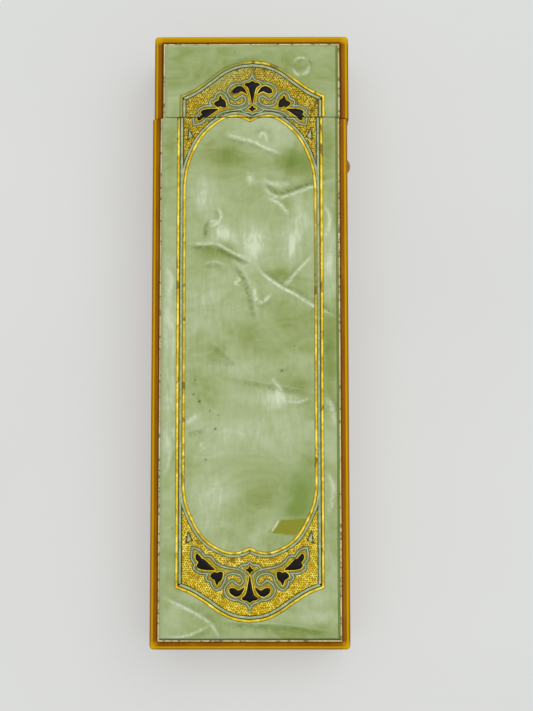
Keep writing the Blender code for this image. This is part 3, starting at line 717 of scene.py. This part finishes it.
def flaked(places):
    """How much of the yellow flake's colour each place has."""
    amount = np.zeros(len(places))
    close = np.where((abs(places - np.mean(FLAKE, axis=0)) < 4).all(1))[0]
    if len(close):
        sides = zip(FLAKE, FLAKE[1:] + FLAKE[:1])
        rim = np.vstack([curve([corner, after], 0.1) for corner, after in sides])
        sign = np.where(inside(places[close], np.array(FLAKE)), 1, -1)
        amount[close] = 0.95 * fade(sign * distance_to(places[close], rim), -0.06, 0.08)
    return amount


def specked(places):
    """How much of a dark speck each place has."""
    return sum(
        np.exp(-((np.hypot(places[:, 0] - x, places[:, 1] - y) / size) ** 4)) for x, y, size in SPECKS
    )


def front_panel(node, body, y_seam, y_end):
    """The pearl sheet, as fine as its creases, with its bevel on the three free edges."""
    low, high = (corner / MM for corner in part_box(node))
    away = math.copysign(1, y_end - y_seam)
    slope = np.array([0.0, 0.07, BEVEL_WIDE - 0.03])  # rows of vertices on the bevel, from the edge in
    across = np.linspace(low.x + BEVEL_WIDE, high.x - BEVEL_WIDE, round((high.x - low.x) / PANEL_STEP))
    across = np.concatenate([low.x + slope, across, high.x - slope[::-1]])
    last = y_end - away * BEVEL_WIDE
    along = np.linspace(y_seam, last, round(abs(last - y_seam) / PANEL_STEP))
    along = np.concatenate([along, y_end - away * slope[::-1]])
    x, y = (part.ravel() for part in np.meshgrid(across, along))
    places = np.column_stack([x, y])
    to_right, to_end = high.x - x, (y_end - y) * away
    to_edge = np.minimum.reduce([x - low.x, to_right, to_end])
    painted_highlight, painted_shade = creased(places)
    dent_light, dent_dark, dent = dented(places)
    light = np.maximum(painted_highlight, dent_light)
    drop = BEVEL_DEEP * np.clip(1 - to_edge / BEVEL_WIDE, 0, 1)
    drop += CREASE_DEEP * light + DENT_DEEP * dent * (to_edge > BEVEL_WIDE)
    on_bevel, middle = to_edge < BEVEL_WIDE - 0.01, (low.x + high.x) / 2
    at_foot = (away < 0) & (to_end < 0.08)
    attributes = {
        "cloud": spots(places, CLOUDS),
        "green": np.clip(spots(places, GREEN_PATCHES), 0, 0.85),
        "yellow": np.maximum(flaked(places), spots(places, PALE_YELLOW)),
        # painted highlight and painted shade of the creases and the dent's ring
        "painted_highlight": light,
        "painted_shade": np.maximum(painted_shade, dent_dark),
        "speck": np.clip(specked(places), 0, 0.9),
        # painted highlight on the bevel's left side, painted shade on its right side
        "bevel_painted_highlight": 0.6 * (on_bevel & (x < middle)),
        "bevel_painted_shade": 0.75 * (on_bevel & (x > middle) & (to_right <= to_end)),
        # darker along the outer edge, and more along the body sheet's bottom end
        "rim_dirt": np.maximum(0.5 * (to_edge < 0.02), 0.95 * at_foot),
    }
    wide, rows = len(across), len(along)
    faces = []
    for row in range(rows - 1):
        for k in range(wide - 1):
            a = row * wide + k
            face = [a, a + 1, a + wide + 1, a + wide]
            faces.append(face if away > 0 else face[::-1])
    vertices, faces, attributes = closed_below(np.column_stack([x, y, high.z - drop]), faces, attributes, low.z)
    panel = mesh_piece(f"{node}_sheet", vertices, faces, LOOKS["green_pearl_celluloid"], attributes)
    panel.modifiers.new("edges", "EDGE_SPLIT").split_angle = SHARP_ANGLE
    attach(panel, body)
    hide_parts(node)


def add_front_panels():
    body_low, body_high = (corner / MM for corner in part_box("body_front_panel"))
    lid_low, lid_high = (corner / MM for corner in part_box("lid_front_panel"))
    front_panel("body_front_panel", "case_body", body_high.y, body_low.y)
    front_panel("lid_front_panel", "lid", lid_low.y, lid_high.y)


# ---------------------------------------------------------------- the catch spring

def add_catch_spring():
    """The leaf as the CAD has it, sliced across between its foot and the button."""
    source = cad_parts["catch_spring"]
    bm = bmesh.new()
    bm.from_mesh(source.data)
    bm.transform(source.matrix_world)
    for y in np.arange(SPRING_FIXED + SPRING_SLICE, SPRING_FREE, SPRING_SLICE):
        everything = bm.verts[:] + bm.edges[:] + bm.faces[:]
        bmesh.ops.bisect_plane(bm, geom=everything, dist=1e-7, plane_co=(0, y * MM, 0), plane_no=(0, 1, 0))
    mesh = bpy.data.meshes.new("catch_spring_leaf")
    bm.to_mesh(mesh)
    bm.free()
    mesh.materials.append(LOOKS["spring_brass"])
    leaf = bpy.data.objects.new("catch_spring_leaf", mesh)
    bpy.context.scene.collection.objects.link(leaf)
    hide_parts("catch_spring")
    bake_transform(leaf)


# ---------------------------------------------------------------- the stamped frame

# Profiles of the lines, from right to left across them: (offset, height, relief). Relief 1 is painted brightest,
# and relief 0 is painted dark as the shade of a groove.
GOLD_LINE = [
    (-0.20, 0.0, 0.0), (-0.15, 0.02, 0.5), (-0.07, 0.05, 1.0),
    (0.07, 0.05, 1.0), (0.15, 0.02, 0.5), (0.20, 0.0, 0.0),
]
CHANNEL = [
    (0.14, 0.004, 0.0), (0.26, 0.012, 0.0), (0.32, 0.02, 1.0),
    (0.54, 0.02, 1.0), (0.60, 0.01, 0.0), (0.70, 0.0, 0.0),
]
WINDOW_CHANNEL = [
    (0.14, 0.006, 0.0), (0.20, 0.014, 0.0), (0.26, 0.022, 1.0),
    (0.46, 0.022, 1.0), (0.52, 0.012, 0.0), (0.60, 0.0, 0.0),
]
TRIANGLE_LINE = [(-0.14, 0.02, 0.0), (-0.08, 0.045, 0.0), (0.02, 0.03, 0.0)]
SCROLL_LINE = [
    (-0.18, 0.01, 0.0), (-0.12, 0.02, 0.0), (-0.07, 0.05, 1.0),
    (0.07, 0.05, 1.0), (0.12, 0.02, 0.0), (0.18, 0.01, 0.0),
]
RIM_LINE = [(-0.15, 0.0, 0.3), (-0.10, 0.065, 1.0), (-0.03, 0.065, 1.0), (0.02, 0.0, 0.3)]  # outside a loop

# The gilt ground ends this far from the middle of each kind of line.
OUTER_CLEAR, WINDOW_CLEAR, SCROLL_CLEAR, TRIANGLE_CLEAR, RIM_CLEAR = 0.62, 0.52, 0.17, 0.12, 0.1

# Heights of the fills, at the edge and at the crown, and how far in from the edge the crown starts.
TRIANGLE_DOME = (0.02, 0.045)
ENAMEL_DOME = (0.02, 0.06)
DOME_SLOPE = 0.28

TOP_OUTER = [(SIDE_X, 31.3), (7.5, 32.15), (5.6, 33.5), (3.8, 34.85), (1.9, 35.65), (0, 35.9)]
BOTTOM_OUTER = [(SIDE_X, 31.8), (7.5, 32.5), (5.6, 33.65), (3.8, 34.9), (2.0, 35.75), (0, 36.05)]
TOP_WINDOW = [
    (WINDOW_X, WINDOW_FOOT), (8.05, 22.2), (6.3, 26.0), (3.7, 28.3), (2.3, 28.75), (1.1, 28.6), (0, 28.1),
]
BOTTOM_WINDOW = [
    (WINDOW_X, WINDOW_FOOT), (8.0, 21.8), (5.8, 25.8), (3.2, 27.4), (1.95, 27.6), (0.9, 27.4), (0, 27.0),
]

# The palmette's right half, upright, as smooth runs that meet in cusps.
PALMETTE = [
    [(0, 34.7), (0.25, 34.05), (0.55, 33.8)],
    [(0.55, 33.8), (1.0, 33.7), (1.45, 33.4)],
    [(1.45, 33.4), (2.1, 33.4), (2.85, 32.95), (3.2, 32.2), (2.85, 31.45), (2.2, 30.98), (1.75, 31.3),
     (1.3, 31.55), (0.85, 31.15), (1.15, 30.4), (2.1, 30.1), (2.95, 30.4), (3.2, 31.15), (3.6, 31.8),
     (4.2, 32.15), (4.7, 31.75), (4.9, 31.15)],
    [(4.9, 31.15), (5.4, 30.95), (5.5, 30.45), (5.1, 30.1)],
    [(5.1, 30.1), (6.2, 30.05), (7.05, 29.45), (6.9, 28.95)],
    [(6.9, 28.95), (7.35, 28.2), (7.25, 26.85)],
    [(7.25, 26.85), (6.3, 27.2), (5.7, 27.95)],
    [(5.7, 27.95), (4.95, 28.0), (4.2, 28.85), (3.2, 29.3), (1.6, 29.6), (0.85, 29.9), (0.45, 30.4)],
]
OGEE = [(0, 28.7), (0.35, 29.0), (1.0, 29.1), (1.5, 29.5)]
CELLS = {
    "fan": [
        (0, 30.4), (0.2, 31.3), (0.34, 32.05), (0.55, 32.75), (1.0, 33.2), (0.8, 33.45), (0.4, 33.5), (0, 33.75),
    ],
    "inner": [
        (0.66, 31.8), (1.05, 32.05), (1.45, 32.2), (1.8, 32.0), (2.2, 31.88), (2.58, 32.05), (2.52, 32.48),
        (2.2, 32.8), (1.78, 33.0), (1.3, 32.88), (0.9, 32.4),
    ],
    "middle": [
        (3.42, 29.95), (3.75, 29.85), (4.1, 30.0), (4.45, 29.92), (4.82, 30.15), (4.97, 30.45), (4.72, 30.76),
        (4.42, 30.9), (4.3, 31.28), (4.12, 31.62), (3.92, 31.2), (3.58, 30.92), (3.4, 30.43),
    ],
    "outer": [
        (4.4, 29.62), (4.88, 29.14), (5.34, 28.68), (5.76, 28.32), (5.98, 28.26), (6.28, 27.9), (6.65, 27.62),
        (6.85, 27.88), (6.78, 28.36), (6.5, 28.72), (6.68, 29.05), (6.48, 29.44), (5.92, 29.62), (5.22, 29.68),
    ],
}
DIAMOND = [
    (0, 29.15), (0.2, 29.46), (0.52, 29.66), (0.2, 29.88),
    (0, 30.18), (-0.2, 29.88), (-0.52, 29.66), (-0.2, 29.46),
]
TOP_TRIANGLE = [(7.4, 26.0), (8.0, 25.7), (7.9, 26.95)]
BOTTOM_TRIANGLE = [(7.35, 25.9), (7.95, 26.2), (7.8, 25.0)]
TOP_SQUEEZE = (0.75, 0.91)  # height of the top palmette against the bottom one's, below and above its middle
PALMETTE_MIDDLE = 29.6
CENTRE_Y, CENTRE_RADIUS = 29.65, 0.75  # the smooth round part of the ground, about the diamond
FIELD_RELIEF = {"top": (0.2, 0.78), "bottom": (0.25, 1.0)}  # of the low and the high parts of the gilt ground
PITTED = {"top": False, "bottom": True}  # whether the gilt ground has pits or pebbles


def end_runs(way):
    """The outer and window curves of one end, from the right side to the left. way is 1 at the top, -1 below."""
    outer, window = (TOP_OUTER, TOP_WINDOW) if way > 0 else (BOTTOM_OUTER, BOTTOM_WINDOW)
    flip = np.array((1, way))
    return mirrored(curve(outer)) * flip, mirrored(curve(window)) * flip


def with_sides(run):
    """The closed run with more points along its straight sides."""
    dense = []
    for here, after in zip(run, np.roll(run, -1, axis=0)):
        count = max(1, round(math.dist(here, after) / 0.5))
        dense += [here + (after - here) * k / count for k in range(count)]
    return np.array(dense)


def add_frame_lines():
    top_outer, top_window = end_runs(1)
    bottom_outer, bottom_window = end_runs(-1)
    outer = with_sides(np.vstack([top_outer, bottom_outer[::-1]]))
    window = with_sides(np.vstack([top_window, bottom_window[::-1]]))
    ribbon("outer_line", outer, GOLD_LINE, GILT_LINE, loop=True)
    ribbon("outer_channel", outer, CHANNEL, SCROLL, loop=True)
    ribbon("window_line", window, GOLD_LINE, GILT_LINE, loop=True)
    outward = [(-offset, height, relief) for offset, height, relief in reversed(WINDOW_CHANNEL)]
    ribbon("top_window_channel", top_window, outward, SCROLL)
    ribbon("bottom_window_channel", bottom_window[::-1], outward, SCROLL)


def palmette_half():
    return joined(*[curve(run) for run in PALMETTE])


def placed(run, way):
    """The upright run at the top end (way 1), with its leaves squeezed, or at the bottom end (way -1)."""
    if way < 0:
        return run * (1, -1)
    off = run[:, 1] - PALMETTE_MIDDLE
    return np.column_stack([run[:, 0], PALMETTE_MIDDLE + off * np.where(off < 0, *TOP_SQUEEZE)])


def both_sides(run, way):
    """The run and its mirror image, placed at one end."""
    right = placed(run, way)
    return [("right", right), ("left", right * (-1, 1))]


def anticlockwise(loop):
    after = np.roll(loop, -1, axis=0)
    area = (loop[:, 0] * after[:, 1] - after[:, 0] * loop[:, 1]).sum()
    return loop if area > 0 else loop[::-1]


def cell_outlines(way):
    """Name and closed outline of every enamel cell of one end."""
    fan = CELLS["fan"]
    halves = [(x, y) for x, y in fan] + [(-x, y) for x, y in reversed(fan[1:-1])]
    yield "fan", placed(curve(halves, loop=True), way)
    yield "diamond", placed(curve(DIAMOND, loop=True), way)
    for name in ("inner", "middle", "outer"):
        for side, outline in both_sides(curve(CELLS[name], loop=True), way):
            yield f"{name}_{side}", outline


def pebbles(places, random):
    """Height, 0 to 1, of closely packed round pebbles."""
    low, high = places.min(0) - PEBBLE_PITCH, places.max(0) + PEBBLE_PITCH
    centres = np.stack(
        np.meshgrid(np.arange(low[0], high[0], PEBBLE_PITCH), np.arange(low[1], high[1], PEBBLE_PITCH * 0.87)), -1
    )
    centres[::2, :, 0] += PEBBLE_PITCH / 2
    centres = centres.reshape(-1, 2)
    centres += random.uniform(-0.2, 0.2, centres.shape) * PEBBLE_PITCH
    return 1 - fade(distance_to(places, centres), PEBBLE_PITCH * 0.2, PEBBLE_PITCH * 0.5)


def gilt_field(end, way, lines):
    """The pebbled ground between the outer line and the window, sunk under every line that crosses it."""
    outer, window = end_runs(way)
    tall = abs(outer[:, 1]).max()
    across = np.arange(-SIDE_X, SIDE_X, FIELD_STEP)
    along = np.arange(WINDOW_FOOT, tall, FIELD_STEP) * way
    x, y = (part.ravel() for part in np.meshgrid(across, along))
    places = np.column_stack([x, y])
    top = np.interp(x, outer[::-1, 0], outer[::-1, 1] * way)
    foot = np.interp(x, window[::-1, 0], window[::-1, 1] * way)
    wanted = (y * way < top) & (y * way > foot) & (abs(x) < WINDOW_X + 0.15)
    half = placed(palmette_half(), way)
    palmette = np.vstack([half, half[::-1] * (-1, 1)])
    smooth_part = inside(places, palmette) | (np.hypot(x, y * way - CENTRE_Y) < CENTRE_RADIUS)
    lines = [*lines, (outer, OUTER_CLEAR), (window, WINDOW_CLEAR)]
    clear = np.minimum.reduce([distance_to(places, run) - half_wide for run, half_wide in lines])
    rise = fade(clear, -0.02, 0.12)
    domes = pebbles(places, np.random.default_rng(11 + way))
    if PITTED[end]:
        domes = 1 - domes
    domes = np.where(smooth_part, 0.35, domes)
    ground, crest = FIELD_RELIEF[end]
    height = FRONT_TOP - 0.02 + rise * (0.03 + 0.035 * domes)
    # relief paints the gilt: brightest on the raised parts, darker lower down, and dark as painted shade where the
    # ground sinks under a line
    relief = rise * np.where(smooth_part, 0.5, ground + (crest - ground) * domes)
    row = len(across)
    cells = []
    for start in range(0, len(places) - row - 1):
        if (start + 1) % row and wanted[[start, start + 1, start + row, start + row + 1]].all():
            cells.append([start, start + 1, start + row + 1, start + row])
    used = np.unique(np.array(cells))
    index = np.full(len(places), -1)
    index[used] = np.arange(len(used))
    faces = [index[cell if way > 0 else cell[::-1]].tolist() for cell in cells]
    vertices = np.column_stack([places, height])[used]
    attributes = {"relief": relief[used]}
    vertices, faces, attributes = closed_below(vertices, faces, attributes, FRONT_TOP - SINK)
    stamped(f"{end}_field", vertices, faces, GILT_FIELD, attributes)


def add_end(end, way):
    """One end of the stamp: field, palmette scrolls, corner triangles, and enamel cells with their gilt rims."""
    lines = []
    for side, run in both_sides(palmette_half(), way) + both_sides(curve(OGEE), way):
        ribbon(f"{end}_{side}_scroll_{len(lines)}", run, SCROLL_LINE, SCROLL)
        lines.append((run, SCROLL_CLEAR))
    triangle = np.array(TOP_TRIANGLE if way > 0 else BOTTOM_TRIANGLE) * (1, way)
    for side, run in (("right", triangle), ("left", triangle * (-1, 1))):
        run = anticlockwise(with_sides(run))
        ribbon(f"{end}_{side}_triangle_groove", run, TRIANGLE_LINE, SCROLL, loop=True)
        filled(f"{end}_{side}_triangle", run, TRIANGLE_DOME, SCROLL)
        lines.append((run, TRIANGLE_CLEAR))
    for name, outline in cell_outlines(way):
        outline = anticlockwise(outline)
        ribbon(f"{end}_{name}_rim", outline, RIM_LINE, GILT_LINE, loop=True)
        filled(f"{end}_{name}_enamel", outline, ENAMEL_DOME, ENAMEL)
        lines.append((outline, RIM_CLEAR))
    gilt_field(end, way, lines)


# ---------------------------------------------------------------- stage

def add_floor():
    """A plain pale floor. Its faint glow keeps the contact shadow as light as the photo's."""
    bm = bmesh.new()
    bmesh.ops.create_grid(bm, x_segments=60, y_segments=60, size=0.9)
    mesh = bpy.data.meshes.new("floor")
    bm.to_mesh(mesh)
    bm.free()
    floor = bpy.data.objects.new("floor", mesh)
    bpy.context.scene.collection.objects.link(floor)
    look = Look("pale_cloth", Roughness=0.95, Specular_IOR_Level=0.1, Emission_Strength=0.34)
    folds = look.noise(60.0, detail=3.0)
    look.colour(look.ramp(folds, (0.3, srgb(163, 165, 163)), (0.7, srgb(170, 172, 170))))
    look.bump(look.noise(0.35, detail=2.0), 0.03, 0.3)
    mesh.materials.append(look.material)


def add_area_light(name, place, target, size, power, colour):
    data = bpy.data.lights.new(name, "AREA")
    data.shape, data.size, data.energy, data.color = "DISK", size, power, colour
    light = bpy.data.objects.new(name, data)
    bpy.context.scene.collection.objects.link(light)
    light.location = place
    light.rotation_euler = (Vector(target) - Vector(place)).to_track_quat("-Z", "Y").to_euler()


def add_light():
    """A sky that is brighter overhead, a window on the right and a fill on the left."""
    world = bpy.data.worlds.new("studio")
    world.use_nodes = True
    tree = world.node_tree
    background = tree.nodes["Background"]
    upward = tree.nodes.new("ShaderNodeSeparateXYZ")
    sky = tree.nodes.new("ShaderNodeValToRGB")
    tree.links.new(tree.nodes.new("ShaderNodeTexCoord").outputs["Generated"], upward.inputs[0])
    tree.links.new(upward.outputs["Z"], sky.inputs["Fac"])
    tree.links.new(sky.outputs["Color"], background.inputs["Color"])
    sides, zenith = sky.color_ramp.elements
    sides.position, sides.color = 0.2, (0.5, 0.48, 0.45, 1.0)
    zenith.position, zenith.color = 0.8, (1.0, 1.0, 0.98, 1.0)
    background.inputs["Strength"].default_value = 0.64
    bpy.context.scene.world = world
    bpy.context.scene.view_settings.view_transform = "Standard"
    add_area_light("window_light", (0.35, 0.20, 0.85), (0, 0, 0), 0.9, 3.4, (0.95, 0.98, 1.0))
    add_area_light("fill_light", (-0.2, 0.1, 0.95), (0, 0, 0), 0.9, 1.7, (1.0, 1.0, 1.0))


def add_camera():
    """The camera at the photo's place: nearly overhead, fitted to the case's outline."""
    data = bpy.data.cameras.new("camera")
    data.lens, data.sensor_width = 69.03, 36.0
    data.clip_start, data.clip_end = 0.01, 10.0
    camera = bpy.data.objects.new("camera", data)
    bpy.context.scene.collection.objects.link(camera)
    camera.location = (0.003061, -0.018870, 0.186121)
    camera.rotation_euler = (0.0938817, 0.0054373, -0.0008083)
    bpy.context.scene.camera = camera


dress_cad_nodes()
add_front_panels()
add_frame_lines()
add_end("top", 1)
add_end("bottom", -1)
add_catch_spring()
add_floor()
add_light()
add_camera()
